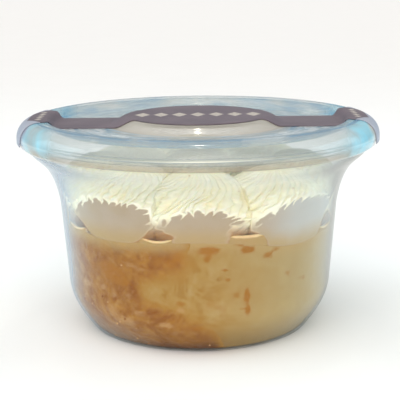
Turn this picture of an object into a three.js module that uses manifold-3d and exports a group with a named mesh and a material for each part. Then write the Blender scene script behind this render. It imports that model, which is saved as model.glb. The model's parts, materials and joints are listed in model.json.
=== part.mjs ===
// Tres leches cake in a clear cup, closed with a push-on lid.
// Millimetres, +Z up. The origin is the middle of the cup's base, and the side
// that faces the viewer is -Y.
import * as THREE from 'three';
import { mergeVertices } from 'three/addons/utils/BufferGeometryUtils.js';
import Module from 'manifold-3d';

const wasm = await Module();
wasm.setup();

// ---------- driving dimensions ----------
const lidRadius = 50.5;          // widest ring of the lid, on a 98 mm cup rim
const lidTop = 59.1;             // height of the lid's centre plateau and crown
const baseRadius = 30.4;         // flat the cup stands on
const bellyRadius = 37.5;        // side wall just above the base curve
const bellyHeight = 14.2;        // where the base curve ends
const neckRadius = 39.25;        // side wall where it starts to open out
const neckHeight = 35.6;
const flareRadius = 44.2;        // start of the straight flare
const flareHeight = 47.7;
const cupWall = 0.8;
const flangeRadius = 49.5;       // the cup's turned-out rim
const flangeTop = 54.3;
const flangeThickness = 0.8;
const lidWall = 0.7;
const reliefDepth = 2.05;        // the lid's ring channel lies this far below its top
const plateauRadius = 19.9;
const plateauFoot = 24.7;
const channelRadius = 39.9;      // outer foot of the channel
const crownInner = 42.6;
const crownOuter = 45.6;
const skirtWidest = 54.3;        // height of the widest ring
const lipRadius = 49.0;          // the lip that grips under the cup's rim
const lipHeight = 51.9;
const gap = 0.3;                 // clearance between pieces that touch
const roundSegments = 44;        // facets round the cup and the lid

const labelThickness = 0.3;
const labelDiscRadius = 19.45;
const labelArmHalfWidth = 9.6;
const labelTabHalfWidth = 15;    // where the label folds over the lid's edge
const labelTabStart = 40;
const labelBottom = 53.2;

const cakeLevel = 32.4;          // top of the soaked cake, before the cream presses in
const cakeSegments = 36;
const creamTop = 49.5;
const ridgeCount = 18;           // ridges left by the star nozzle, one facet edge each
const ridgeDepth = 0.06;         // as a share of the radius
const turns = 2.1;               // turns of cream in one rosette
const ridgeTwist = 1.4;          // how far the ridges turn from foot to tip, in radians
const sideSpread = 0.34;         // how much wider a rosette is along the wall, as a share
const centreRadius = 16.4;       // the middle rosette's share of the surface

// ---------- helpers for outlines ----------
const at = (r, z) => new THREE.Vector2(r, z);

// A round stretch of an outline, from start to end, pulled by two handles.
const bend = (start, handleA, handleB, end, steps) =>
  new THREE.CubicBezierCurve(start, handleA, handleB, end).getPoints(steps);

// Joins stretches into one outline and drops points that repeat.
function outline(...stretches) {
  const points = [];
  for (const point of stretches.flat()) {
    const last = points[points.length - 1];
    if (!last || last.distanceTo(point) > 1e-3) points.push(point);
  }
  return points;
}

// Moves an open outline sideways by a distance; positive is to the left of its direction.
// A point on the axis stays on the axis.
function offset(points, distance) {
  return points.map((point, i) => {
    const before = points[Math.max(i - 1, 0)];
    const after = points[Math.min(i + 1, points.length - 1)];
    const inward = point.clone().sub(before);
    const outward = after.clone().sub(point);
    if (i === 0) inward.copy(outward);
    if (i === points.length - 1) outward.copy(inward);
    const a = at(-inward.y, inward.x).normalize();
    const b = at(-outward.y, outward.x).normalize();
    const normal = a.clone().add(b).normalize();
    const stretch = Math.min(1 / normal.dot(a), 1.5);
    const moved = point.clone().addScaledVector(normal, distance * stretch);
    if (point.x === 0) moved.x = 0;
    return moved;
  });
}

// Height z of an outline at radius r, or radius at height z, by linear steps.
function lookUp(points, value, from, to) {
  for (let i = 1; i < points.length; i += 1) {
    const a = points[i - 1];
    const b = points[i];
    if ((a[from] - value) * (b[from] - value) <= 0 && a[from] !== b[from]) {
      return a[to] + ((value - a[from]) * (b[to] - a[to])) / (b[from] - a[from]);
    }
  }
  return points[points.length - 1][to];
}

// ---------- helpers for solids ----------
// A turned solid. The outline runs from axis to axis, or closes on itself.
function turned(points, segments) {
  const geometry = new THREE.LatheGeometry(points, segments);
  geometry.rotateX(Math.PI / 2);
  return geometry;
}

// Bare closed mesh with shared corners, ready for a boolean.
function toSolid(geometry) {
  const bare = geometry.clone();
  bare.deleteAttribute('normal');
  bare.deleteAttribute('uv');
  const merged = mergeVertices(bare, 1e-4);
  const index = merged.index.array;
  const kept = [];
  for (let i = 0; i < index.length; i += 3) {
    const [a, b, c] = [index[i], index[i + 1], index[i + 2]];
    if (a !== b && b !== c && a !== c) kept.push(a, b, c);
  }
  const solid = new wasm.Manifold(new wasm.Mesh({
    numProp: 3,
    vertProperties: new Float32Array(merged.attributes.position.array),
    triVerts: new Uint32Array(kept),
  }));
  return solid.volume() < 0 ? toSolid(flipped(geometry)) : solid;
}

function flipped(geometry) {
  const copy = geometry.index ? geometry.toNonIndexed() : geometry.clone();
  const position = copy.attributes.position;
  for (let i = 0; i < position.count; i += 3) {
    const second = new THREE.Vector3().fromBufferAttribute(position, i + 1);
    const third = new THREE.Vector3().fromBufferAttribute(position, i + 2);
    position.setXYZ(i + 1, third.x, third.y, third.z);
    position.setXYZ(i + 2, second.x, second.y, second.z);
  }
  return copy;
}

function toGeometry(solid) {
  const mesh = solid.getMesh();
  const geometry = new THREE.BufferGeometry();
  geometry.setAttribute('position', new THREE.BufferAttribute(new Float32Array(mesh.vertProperties), 3));
  geometry.setIndex(new THREE.BufferAttribute(new Uint32Array(mesh.triVerts), 1));
  geometry.computeVertexNormals();
  return geometry;
}

// A flat outline in X and Y made into an upright block from low to high.
function uprightBlock(shape, low, high, curveSegments) {
  const geometry = new THREE.ExtrudeGeometry(shape, {
    depth: high - low, bevelEnabled: false, curveSegments,
  });
  geometry.translate(0, 0, low);
  return geometry;
}

// A solid between a top and a bottom surface over a disc, from rings of points.
// ringPoint(ring, angle) gives one point; ring 0 is the middle of the bottom and the
// last ring is the middle of the top.
function ringedSolid(ringCount, segments, ringPoint) {
  const position = [];
  const index = [];
  const first = ringPoint(0, 0);
  const last = ringPoint(ringCount - 1, 0);
  position.push(first.x, first.y, first.z);
  for (let ring = 1; ring < ringCount - 1; ring += 1) {
    for (let i = 0; i < segments; i += 1) {
      const point = ringPoint(ring, (i / segments) * Math.PI * 2);
      position.push(point.x, point.y, point.z);
    }
  }
  position.push(last.x, last.y, last.z);
  const top = position.length / 3 - 1;
  const id = (ring, i) => 1 + (ring - 1) * segments + (i % segments);
  for (let i = 0; i < segments; i += 1) {
    index.push(0, id(1, i + 1), id(1, i));
    for (let ring = 1; ring < ringCount - 2; ring += 1) {
      index.push(id(ring, i), id(ring, i + 1), id(ring + 1, i + 1));
      index.push(id(ring, i), id(ring + 1, i + 1), id(ring + 1, i));
    }
    index.push(top, id(ringCount - 2, i), id(ringCount - 2, i + 1));
  }
  const geometry = new THREE.BufferGeometry();
  geometry.setAttribute('position', new THREE.Float32BufferAttribute(position, 3));
  geometry.setIndex(index);
  return geometry;
}

// ---------- cup ----------
// Outside of the cup, from the axis along the base and up to the turned-out rim.
const cupOutside = outline(
  [at(0, 0), at(baseRadius, 0)],
  bend(at(31.2, 0.4), at(35.2, 5.6), at(37.3, 9.0), at(bellyRadius, bellyHeight), 3),
  bend(at(neckRadius, neckHeight), at(39.95, 40.6), at(41.6, 45.3), at(flareRadius, flareHeight), 4),
  bend(at(46.6, 49.8), at(47.8, 51.0), at(48.4, 51.9), at(48.5, flangeTop - flangeThickness), 2),
);
const cupInside = offset(cupOutside, cupWall);

function cupGeometry() {
  const inside = cupInside.slice(0, -1);
  return turned(outline(
    cupOutside,
    [at(flangeRadius, flangeTop - flangeThickness), at(flangeRadius, flangeTop)],
    [at(inside[inside.length - 1].x + 0.35, flangeTop)],
    inside.reverse(),
  ), roundSegments);
}

// ---------- lid ----------
const channelFloor = lidTop - reliefDepth;

// Top of the lid, from the axis over plateau, channel and crown to the widest ring.
const lidUpper = outline(
  [at(0, lidTop), at(plateauRadius - 0.8, lidTop)],
  bend(at(plateauRadius, lidTop), at(21.6, lidTop - 0.2), at(23.0, channelFloor + 0.2),
    at(plateauFoot, channelFloor), 2),
  bend(at(channelRadius, channelFloor), at(41.2, channelFloor + 0.1), at(41.3, lidTop - 0.3),
    at(crownInner, lidTop - 0.05), 3),
  bend(at(crownOuter, lidTop), at(48.3, lidTop - 0.1), at(lidRadius, 57.2),
    at(lidRadius, skirtWidest), 4),
);

function lidGeometry() {
  const under = offset(lidUpper, -lidWall);
  const innerRadius = lidRadius - lidWall;
  const seatRadius = 48.5;
  const seatBottom = flangeTop + gap;
  const seatTop = seatBottom + 0.7;
  const shoulder = under.filter((point) => point.y > seatTop + 0.4);
  return turned(outline(
    [...lidUpper].reverse(),
    shoulder,
    [at(innerRadius, seatTop), at(seatRadius, seatTop), at(seatRadius, seatBottom)],
    [at(innerRadius, seatBottom), at(innerRadius, 53.4), at(lipRadius - 0.3, lipHeight + 0.35)],
    [at(lipRadius, lipHeight), at(lipRadius + 0.9, 52.6)],
    [at(lidRadius, skirtWidest)],
  ), roundSegments);
}

// ---------- paper label ----------
// A strip across the lid with a disc in the middle and tabs folded over the edge. It
// follows the lid: a thin skin over the whole lid, kept only inside the label's outline.
function labelGeometry() {
  const skirtEnd = at(lidRadius, labelBottom);
  const under = offset([...lidUpper, skirtEnd], gap);
  const over = offset([...lidUpper, skirtEnd], gap + labelThickness);
  const skin = toSolid(turned(outline(under, [...over].reverse()), roundSegments));
  const disc = new THREE.Shape();
  disc.absarc(0, 0, labelDiscRadius, 0, Math.PI * 2, false);
  const reach = lidRadius + 5;
  const tabEnd = 48.5;
  const strip = new THREE.Shape([
    at(-reach, -labelTabHalfWidth), at(-tabEnd, -labelTabHalfWidth),
    at(-labelTabStart, -labelArmHalfWidth), at(labelTabStart, -labelArmHalfWidth),
    at(tabEnd, -labelTabHalfWidth), at(reach, -labelTabHalfWidth),
    at(reach, labelTabHalfWidth), at(tabEnd, labelTabHalfWidth),
    at(labelTabStart, labelArmHalfWidth), at(-labelTabStart, labelArmHalfWidth),
    at(-tabEnd, labelTabHalfWidth), at(-reach, labelTabHalfWidth),
  ]);
  const low = labelBottom - 1;
  const high = lidTop + 2;
  const pattern = toSolid(uprightBlock(strip, low, high, 1))
    .add(toSolid(uprightBlock(disc, low, high, 20)));
  return toGeometry(skin.intersect(pattern));
}

// ---------- whipped cream rosettes: where they stand ----------
// angle is measured from the viewer's side towards +X, in degrees. reach is the radius
// before the wall and the neighbours flatten it, stand the distance from the axis, and
// sink how far the rosette presses into the cake. foot is the share of the reach that is
// left at the bottom, where neighbours leave a small hollow between them.
const frontRosettes = [
  { angle: -37, reach: 14.0, stand: 28.2, sink: 2.8, top: creamTop, foot: 0.78 },
  { angle: 0, reach: 12.8, stand: 27.6, sink: 0.5, top: creamTop - 0.7, foot: 0.9 },
  { angle: 42, reach: 14.0, stand: 28.4, sink: 6.0, top: creamTop - 0.9, foot: 0.8 },
];
const backRosetteCount = 5;
const backSpan = 360 - (frontRosettes[2].angle - frontRosettes[0].angle);

function backRosette(k) {
  return {
    angle: frontRosettes[2].angle + (backSpan * (k + 1)) / (backRosetteCount + 1),
    reach: 13.2 + 0.7 * Math.sin(2.3 * k + 0.6),
    stand: 28.0,
    sink: 2.2 + 1.2 * Math.cos(1.9 * k),
    top: creamTop - 0.6 + 0.6 * Math.cos(2.9 * k + 1),
    foot: 0.84,
  };
}

const rosettes = [...frontRosettes];
for (let k = 0; k < backRosetteCount; k += 1) rosettes.push(backRosette(k));

const toRadians = (degrees) => (degrees * Math.PI) / 180;
const standX = (rosette) => rosette.stand * Math.sin(toRadians(rosette.angle));
const standY = (rosette) => -rosette.stand * Math.cos(toRadians(rosette.angle));

// ---------- soaked cake and milk ----------
const sinkSpread = 10;           // how wide a hollow each rosette presses, in mm

function cakeTopAt(x, y) {
  let z = cakeLevel;
  for (const rosette of rosettes) {
    const dx = x - standX(rosette);
    const dy = y - standY(rosette);
    z -= rosette.sink * Math.exp(-(dx * dx + dy * dy) / (2 * sinkSpread * sinkSpread));
  }
  return z;
}

// Everything below the cream, lifted by lift and widened by widen.
function contents(lift, widen) {
  const wall = offset(cupInside, gap - widen);
  const sideHeights = [3.2, 6.5, 10, 14.2, 20];
  const topRings = [1, 0.8, 0.56, 0.3];
  const floorHeight = cupWall + gap - widen;
  const floorRadius = baseRadius - 0.6;
  const ringCount = 1 + 1 + sideHeights.length + topRings.length + 1;
  return toSolid(ringedSolid(ringCount, cakeSegments, (ring, angle) => {
    const [c, s] = [Math.cos(angle), Math.sin(angle)];
    if (ring === 0) return new THREE.Vector3(0, 0, floorHeight);
    if (ring === 1) return new THREE.Vector3(floorRadius * c, floorRadius * s, floorHeight);
    if (ring < 2 + sideHeights.length) {
      const z = sideHeights[ring - 2];
      const r = lookUp(wall, z, 'y', 'x');
      return new THREE.Vector3(r * c, r * s, z);
    }
    if (ring === ringCount - 1) return new THREE.Vector3(0, 0, cakeTopAt(0, 0) + lift);
    const share = topRings[ring - 2 - sideHeights.length];
    const guess = lookUp(wall, cakeLevel, 'y', 'x');
    const edge = lookUp(wall, cakeTopAt(guess * c, guess * s) + lift, 'y', 'x');
    const r = edge * share;
    return new THREE.Vector3(r * c, r * s, cakeTopAt(r * c, r * s) + lift);
  }));
}

// The milk has gathered on the right. Its edge, seen from the front, as X and Z.
const milkEdge = [
  at(-1.6, 40), at(-2.4, 29), at(-4.6, 24), at(-10.6, 21.8), at(-14.8, 19.4), at(-13.4, 15.4),
  at(-6.4, 13.1), at(0.6, 9.4), at(5.0, 5.2), at(7.0, -4),
];

function milkBlock(shift) {
  const edge = new THREE.SplineCurve(milkEdge).getPoints(26).map((p) => at(p.x + shift, p.y));
  const shape = new THREE.Shape([...edge, at(60, -4), at(60, 40)]);
  const geometry = uprightBlock(shape, -60, 60, 1);
  geometry.rotateX(Math.PI / 2);
  return toSolid(geometry);
}

function spongeGeometry() {
  return toGeometry(contents(0, 0).subtract(milkBlock(-gap / 2)));
}

function milkGeometry() {
  return toGeometry(contents(0, 0).intersect(milkBlock(gap / 2)));
}

// ---------- whipped cream ----------
// One rosette as the nozzle leaves it: a cone with a full foot, a groove that climbs
// with the turns and ridges that twist as they rise. It is a little wider along the wall.
// Corners lie on the ridges' crests and valleys in turn.
function rosetteBody(rosette, spread = sideSpread) {
  const low = cakeTopAt(standX(rosette), standY(rosette)) - 1.5;
  const height = rosette.top - low;
  const levels = [0, 0, 0.18, 0.4, 0.62, 0.83, 1, 1];
  const segments = ridgeCount * 2;
  const point = (ring, column) => {
    const t = levels[ring];
    const angle = column + ridgeTwist * t;
    const atTip = ring === 0 || ring === levels.length - 1;
    const foot = rosette.foot + (1 - rosette.foot) * Math.min(t / 0.35, 1);
    const cone = Math.pow(1 - Math.pow(t, 2.4), 0.58) + 0.06 * t;
    const groove = 1 + 0.04 * Math.cos(2 * Math.PI * turns * t - angle) * Math.min(t * 4, 1);
    const ridge = 1 + ridgeDepth * Math.cos(ridgeCount * column) * Math.min(t * 3, 1);
    const wide = 1 + spread * (0.6 + 0.4 * Math.min(t * 2, 1)) * Math.cos(angle) ** 2;
    const r = atTip ? 0 : rosette.reach * foot * cone * groove * ridge * wide;
    return new THREE.Vector3(
      standX(rosette) + r * Math.cos(angle + toRadians(rosette.angle)),
      standY(rosette) + r * Math.sin(angle + toRadians(rosette.angle)),
      low + height * t,
    );
  };
  return toSolid(ringedSolid(levels.length, segments, point));
}

// The room inside the cup above the cake, less the clearance to the wall.
const cakeCeiling = contents(gap, 0.5);

function roomInCup() {
  const floor = 22;
  const ceiling = creamTop + 1;
  const wall = offset(cupInside, gap);
  const between = wall.filter((point) => point.y > floor && point.y < ceiling);
  const start = at(lookUp(wall, floor, 'y', 'x'), floor);
  const end = at(lookUp(wall, ceiling, 'y', 'x'), ceiling);
  return toSolid(turned([at(0, floor), start, ...between, end, at(0, ceiling)], cakeSegments));
}

// A rosette's share of that room: the wedge halfway to each neighbour.
function share(k) {
  const order = [...rosettes].sort((a, b) => a.angle - b.angle);
  const place = order.indexOf(rosettes[k]);
  const count = order.length;
  const left = order[(place + count - 1) % count].angle - (place === 0 ? 360 : 0);
  const right = order[(place + 1) % count].angle + (place === count - 1 ? 360 : 0);
  const angles = [(left + order[place].angle) / 2, (right + order[place].angle) / 2];
  const half = toRadians(angles[1] - angles[0]) / 2;
  const middle = toRadians(angles[0] + angles[1]) / 2;
  const inner = (centreRadius + gap) / Math.cos(half);
  const outer = 70;
  const corner = (r, sign) => {
    const angle = middle + sign * half;
    const x = r * Math.sin(angle) - sign * (gap / 2) * Math.cos(angle);
    const y = -r * Math.cos(angle) - sign * (gap / 2) * Math.sin(angle);
    return at(x, y);
  };
  const shape = new THREE.Shape([corner(inner, -1), corner(outer, -1), corner(outer, 1), corner(inner, 1)]);
  return toSolid(uprightBlock(shape, 0, 70, 1));
}

const room = roomInCup();

function rosetteGeometry(k) {
  return toGeometry(rosetteBody(rosettes[k])
    .intersect(room).intersect(share(k)).subtract(cakeCeiling));
}

function centreRosetteGeometry() {
  const rosette = { angle: 0, reach: 14.2, stand: 0, sink: 0, top: creamTop + 0.8, foot: 0.84 };
  return toGeometry(rosetteBody(rosette, 0).subtract(cakeCeiling));
}

// ---------- materials ----------
const material = (color, roughness, opacity = 1) => new THREE.MeshStandardMaterial({
  color, roughness, metalness: 0, opacity, transparent: opacity < 1,
});
const clearCup = material(0xdfe9ea, 0.08, 0.3);
const clearLid = material(0xd3e6ec, 0.08, 0.3);
const plumPaper = material(0x7a6c78, 0.55);
const soakedSponge = material(0xb9874a, 0.6);
const milkSoak = material(0xcdbb8c, 0.35);
const whippedCream = material(0xe6dfc0, 0.5);

// ---------- the whole ----------
const group = new THREE.Group();

function add(name, geometry, finish) {
  const mesh = new THREE.Mesh(geometry, finish);
  mesh.name = name;
  group.add(mesh);
}

add('cup', cupGeometry(), clearCup);
add('lid', lidGeometry(), clearLid);
add('label_band', labelGeometry(), plumPaper);
add('sponge_cake', spongeGeometry(), soakedSponge);
add('milk', milkGeometry(), milkSoak);
rosettes.forEach((rosette, k) => add(`cream_rosette_${k + 1}`, rosetteGeometry(k), whippedCream));
add('cream_centre', centreRosetteGeometry(), whippedCream);

export default group;
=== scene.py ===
# %% [markdown]
# # Tres leches cake in a clear cup
# A thin clear cup holds sponge soaked in three milks, with piped whipped cream pressed
# against the wall, a clear lid pushed on the rim and a paper band across the lid.
# The solid model gives every size; this lesson dresses it for a close look.

# %% Load the solid model
import json
import math

import bpy
import numpy as np
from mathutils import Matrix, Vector, noise

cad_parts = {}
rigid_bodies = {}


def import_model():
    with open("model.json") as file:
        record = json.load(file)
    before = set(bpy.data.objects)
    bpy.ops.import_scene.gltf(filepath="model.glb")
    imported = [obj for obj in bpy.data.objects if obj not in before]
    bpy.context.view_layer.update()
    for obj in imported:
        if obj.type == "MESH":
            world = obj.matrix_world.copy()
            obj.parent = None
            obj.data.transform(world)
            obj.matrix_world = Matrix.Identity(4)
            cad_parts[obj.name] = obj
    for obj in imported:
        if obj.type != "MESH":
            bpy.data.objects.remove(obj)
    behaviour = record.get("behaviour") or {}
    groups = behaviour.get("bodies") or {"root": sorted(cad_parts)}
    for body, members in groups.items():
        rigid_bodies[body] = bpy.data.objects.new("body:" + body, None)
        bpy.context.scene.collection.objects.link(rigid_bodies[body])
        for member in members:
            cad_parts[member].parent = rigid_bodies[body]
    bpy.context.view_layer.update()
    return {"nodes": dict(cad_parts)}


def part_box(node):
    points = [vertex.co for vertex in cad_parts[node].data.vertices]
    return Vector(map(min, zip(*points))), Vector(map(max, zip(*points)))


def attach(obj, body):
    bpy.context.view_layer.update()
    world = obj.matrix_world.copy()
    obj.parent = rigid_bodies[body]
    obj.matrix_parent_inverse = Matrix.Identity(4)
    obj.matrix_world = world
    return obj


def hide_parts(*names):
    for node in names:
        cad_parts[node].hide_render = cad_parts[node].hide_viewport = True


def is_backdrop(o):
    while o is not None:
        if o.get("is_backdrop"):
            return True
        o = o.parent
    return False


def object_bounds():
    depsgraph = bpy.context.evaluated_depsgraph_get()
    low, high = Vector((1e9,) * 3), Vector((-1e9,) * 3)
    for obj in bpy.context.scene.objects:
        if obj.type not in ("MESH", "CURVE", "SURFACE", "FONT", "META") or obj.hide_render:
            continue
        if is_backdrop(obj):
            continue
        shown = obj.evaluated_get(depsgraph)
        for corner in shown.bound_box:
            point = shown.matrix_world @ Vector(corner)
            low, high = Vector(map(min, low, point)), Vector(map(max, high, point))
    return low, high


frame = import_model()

MM = 0.001  # sizes below are in millimetres, Blender's are in metres
print("solid nodes:", sorted(frame["nodes"]))

# %% [markdown]
# ## Sums that serve both numbers and nodes
# A node tree is a sum drawn as boxes. Wrapping a socket in a small class lets Python's own
# operators add the Math nodes, so a formula reads the same for an array of points as for a
# shader or a Geometry Nodes tree. One method makes every other node.


# %% A socket that can be added and multiplied
class Wire:
    """An output socket; operators on it add Math nodes to its tree."""

    def __init__(self, graph, socket):
        self.graph = graph
        self.socket = socket

    def out(self, name):
        return Wire(self.graph, self.socket.node.outputs[name])

    def __add__(self, other):
        return self.graph.math("ADD", self, other)

    def __sub__(self, other):
        return self.graph.math("SUBTRACT", self, other)

    def __rsub__(self, other):
        return self.graph.math("SUBTRACT", other, self)

    def __mul__(self, other):
        return self.graph.math("MULTIPLY", self, other)

    def __truediv__(self, other):
        return self.graph.math("DIVIDE", self, other)

    def __rtruediv__(self, other):
        return self.graph.math("DIVIDE", other, self)

    def __pow__(self, other):
        return self.graph.math("POWER", self, other)

    def __neg__(self):
        return self * -1.0

    def __abs__(self):
        return self.graph.math("ABSOLUTE", self)

    __radd__ = __add__
    __rmul__ = __mul__


class Graph:
    """A node tree that hands out wires."""

    def __init__(self, tree):
        self.tree = tree
        tree.nodes.clear()

    def node(self, kind, settings=None, values=None, output=0):
        node = self.tree.nodes.new(kind)
        for name, value in (settings or {}).items():
            setattr(node, name, value)
        for name, value in (values or {}).items():
            if isinstance(value, Wire):
                self.tree.links.new(value.socket, node.inputs[name])
            else:
                node.inputs[name].default_value = value
        return Wire(self, node.outputs[output]) if len(node.outputs) else None

    def math(self, operation, *values):
        return self.node("ShaderNodeMath", {"operation": operation}, dict(enumerate(values)))

    def noise(self, place, scale, detail=3.0, roughness=0.5, distortion=0.0):
        values = {"Vector": place, "Scale": scale, "Detail": detail,
                  "Roughness": roughness, "Distortion": distortion}
        return self.node("ShaderNodeTexNoise", values=values)

    def step(self, value, low, high):
        """0 below low, 1 above high and a soft rise between."""
        values = {"Value": value, "From Min": low, "From Max": high}
        return self.node("ShaderNodeMapRange", {"interpolation_type": "SMOOTHSTEP"}, values)

    def fall(self, value, low, high):
        """1 below low, 0 above high and a soft fall between."""
        return 1 - self.step(value, low, high)

    def blend(self, share, first, second):
        """Mixes two colours."""
        values = {0: share, 6: first, 7: second}
        return self.node("ShaderNodeMix", {"data_type": "RGBA"}, values, output=2)

    def xyz(self, vector):
        parts = self.node("ShaderNodeSeparateXYZ", values={"Vector": vector})
        return parts.out("X"), parts.out("Y"), parts.out("Z")

    def attribute(self, name):
        return self.node("ShaderNodeAttribute", {"attribute_name": name}, output="Fac")


def either(operation, plain):
    """A function that adds a Math node for a wire and works out a number otherwise."""
    def apply(*values):
        wire = next((value for value in values if isinstance(value, Wire)), None)
        return wire.graph.math(operation, *values) if wire else plain(*values)
    return apply


sin, cos = either("SINE", np.sin), either("COSINE", np.cos)
exp, sqrt = either("EXPONENT", np.exp), either("SQRT", np.sqrt)
maximum, minimum = either("MAXIMUM", np.maximum), either("MINIMUM", np.minimum)

# %% [markdown]
# ## Outlines that are turned
# Cup and lid are thermoformed from a thin sheet over a round mould, so one outline turned
# about the upright axis gives each. Cubic curves give the soft bends, and every sharp
# corner is eased a little, because a formed sheet has none and a soft edge catches light.


# %% Outline helpers
def bend(start, handle_a, handle_b, end, steps=14):
    """A round stretch of an outline, pulled by two handles."""
    t = np.linspace(0, 1, steps + 1)[:, None]
    shares = ((1 - t) ** 3, 3 * t * (1 - t) ** 2, 3 * t * t * (1 - t), t ** 3)
    return sum(s * np.array(p, float) for s, p in zip(shares, (start, handle_a, handle_b, end)))


def outline(*stretches):
    points = np.vstack(stretches).astype(float)
    steps = np.linalg.norm(np.diff(points, axis=0), axis=1)
    return points[np.concatenate(([True], steps > 1e-4))]


def offset(points, distance):
    """Moves an outline sideways, to the left of its direction. The axis stays the axis."""
    steps = np.diff(points, axis=0)
    steps /= np.linalg.norm(steps, axis=1)[:, None]
    along = np.vstack((steps[:1], steps[:-1] + steps[1:], steps[-1:]))
    along /= np.linalg.norm(along, axis=1)[:, None]
    moved = points + distance * np.stack((-along[:, 1], along[:, 0]), 1)
    moved[points[:, 0] == 0, 0] = 0
    return moved


def eased(points, radius=0.14, sharp=20):
    """Rounds each corner of a closed outline that turns more than sharp degrees."""
    result = []
    for before, point, after in zip(np.roll(points, 1, 0), points, np.roll(points, -1, 0)):
        back, on = before - point, after - point
        lengths = np.linalg.norm(back), np.linalg.norm(on)
        back, on = back / lengths[0], on / lengths[1]
        turn = math.degrees(math.acos(np.clip(-back @ on, -1, 1)))
        if turn < sharp or point[0] == 0:
            result.append(point)
            continue
        reach = min(radius, 0.45 * min(lengths))
        for side, across in ((1, 0), (0.42, 0.12), (0.12, 0.42), (0, 1)):
            result.append(point + reach * (side * back + across * on))
    return np.array(result)


# %% Mesh helpers
def placed(name, data):
    """A new object in the scene, at the origin."""
    thing = bpy.data.objects.new(name, data)
    bpy.context.scene.collection.objects.link(thing)
    return thing


def around(radius, angle):
    """The point at an angle from the viewer's side towards +X, in radians."""
    return radius * math.sin(angle), -radius * math.cos(angle)


def piece(name, vertices, faces, finish=None):
    """A smooth mesh object at the origin, from millimetres, with its faces turned out."""
    mesh = bpy.data.meshes.new(name)
    mesh.from_pydata((np.asarray(vertices) * MM).tolist(), [], faces)
    corners = np.array([mesh.vertices[i].co for face in faces for i in face[:3]]).reshape(-1, 3, 3)
    if np.einsum("ij,ij->", corners[:, 0], np.cross(corners[:, 1], corners[:, 2])) < 0:
        mesh.flip_normals()
    mesh.shade_smooth()
    if finish:
        mesh.materials.append(finish)
    return placed(name, mesh)


def turned(name, profile, finish, segments=240):
    """Turns an outline that closes on itself or ends on the axis."""
    turns = np.arange(segments) * 2 * math.pi / segments
    vertices, rings = [], []
    for r, z in profile:
        first = len(vertices)
        if r < 1e-6:
            vertices.append((0, 0, z))
            rings.append([first] * segments)
        else:
            vertices.extend((*around(r, a), z) for a in turns)
            rings.append(list(range(first, first + segments)))
    faces = []
    for low, high in zip(rings, rings[1:] + rings[:1]):
        for i in range(segments):
            j = (i + 1) % segments
            face = list(dict.fromkeys((low[i], low[j], high[j], high[i])))
            if len(face) > 2:
                faces.append(face)
    return piece(name, vertices, faces, finish)


def baked(thing):
    """Turns an object's modifiers into its own plain mesh."""
    graph = bpy.context.evaluated_depsgraph_get()
    mesh = bpy.data.meshes.new_from_object(thing.evaluated_get(graph))
    thing.modifiers.clear()
    thing.data = mesh
    return thing


def seat(thing, slot, *nodes):
    """Rides a finished piece on the part and hides the solids it replaces. The slot is not used.
    """
    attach(thing, "root")
    if nodes:
        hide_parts(*nodes)
    print(f"{thing.name}: {len(thing.data.polygons)} faces")


# %% [markdown]
# ## Finishes
# Each finish is a few nodes on Object coordinates. Colours are written as they look on a
# screen, from 0 to 255, and made linear for Blender.


# %% Colour and finish helpers
def paint(red, green, blue):
    """A screen colour as Blender's linear colour."""
    return tuple((((v / 255) + 0.055) / 1.055) ** 2.4 for v in (red, green, blue)) + (1.0,)


def finish(name, build):
    material = bpy.data.materials.new(name)
    material.use_nodes = True
    graph = Graph(material.node_tree)
    place = graph.node("ShaderNodeTexCoord", output="Object")
    graph.node("ShaderNodeOutputMaterial", values={"Surface": build(graph, place)})
    return material


def coats(graph, color, *layers):
    """Lays coats over a colour, each a share and a screen colour or a wire."""
    for share, tone in layers:
        color = graph.blend(share, color, tone if isinstance(tone, Wire) else paint(*tone))
    return color


def principled(graph, color, roughness, specular, values=None):
    return graph.node("ShaderNodeBsdfPrincipled", values={
        "Base Color": color, "Roughness": roughness, "Specular IOR Level": specular,
        **(values or {})})


def soft_inside(weight, radius, scale):
    """Light that scatters inside soft food, with its scale in millimetres."""
    return {"Subsurface Weight": weight, "Subsurface Radius": radius,
            "Subsurface Scale": scale * MM}


def bumped(graph, height, distance, strength=1.0):
    values = {"Height": height, "Distance": distance * MM, "Strength": strength}
    return graph.node("ShaderNodeBump", values=values)


# %% [markdown]
# ## Clear plastic
# The sheet is thin, so it hardly bends what is seen through it. A Transparent shader with
# a little haze is calmer than true glass, and a Fresnel factor adds the gloss. Formed
# plastic looks denser where it is seen edge on; the tones there and along the lid's bends
# are painted reflection and shade.


# %% Clear plastic
lid_bend_reflections = ((41.2, 1.3, 1.1), (44.9, 0.6, 0.35))  # radius, width and haze of painted dark-blue reflections along the bends
plateau_end = 26.5
band_shade_start = 45.5  # beyond this the lid gets a painted grey-lilac shade of the band, at both ends
skirt_start, skirt_haze = 46.0, 0.3  # fogged from here outwards
ends_start, ends_haze = 40.0, 0.3    # a painted cyan reflection towards the two ends of the band
glare_height = 54.9                  # a painted highlight line along the skirt's bend


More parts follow.
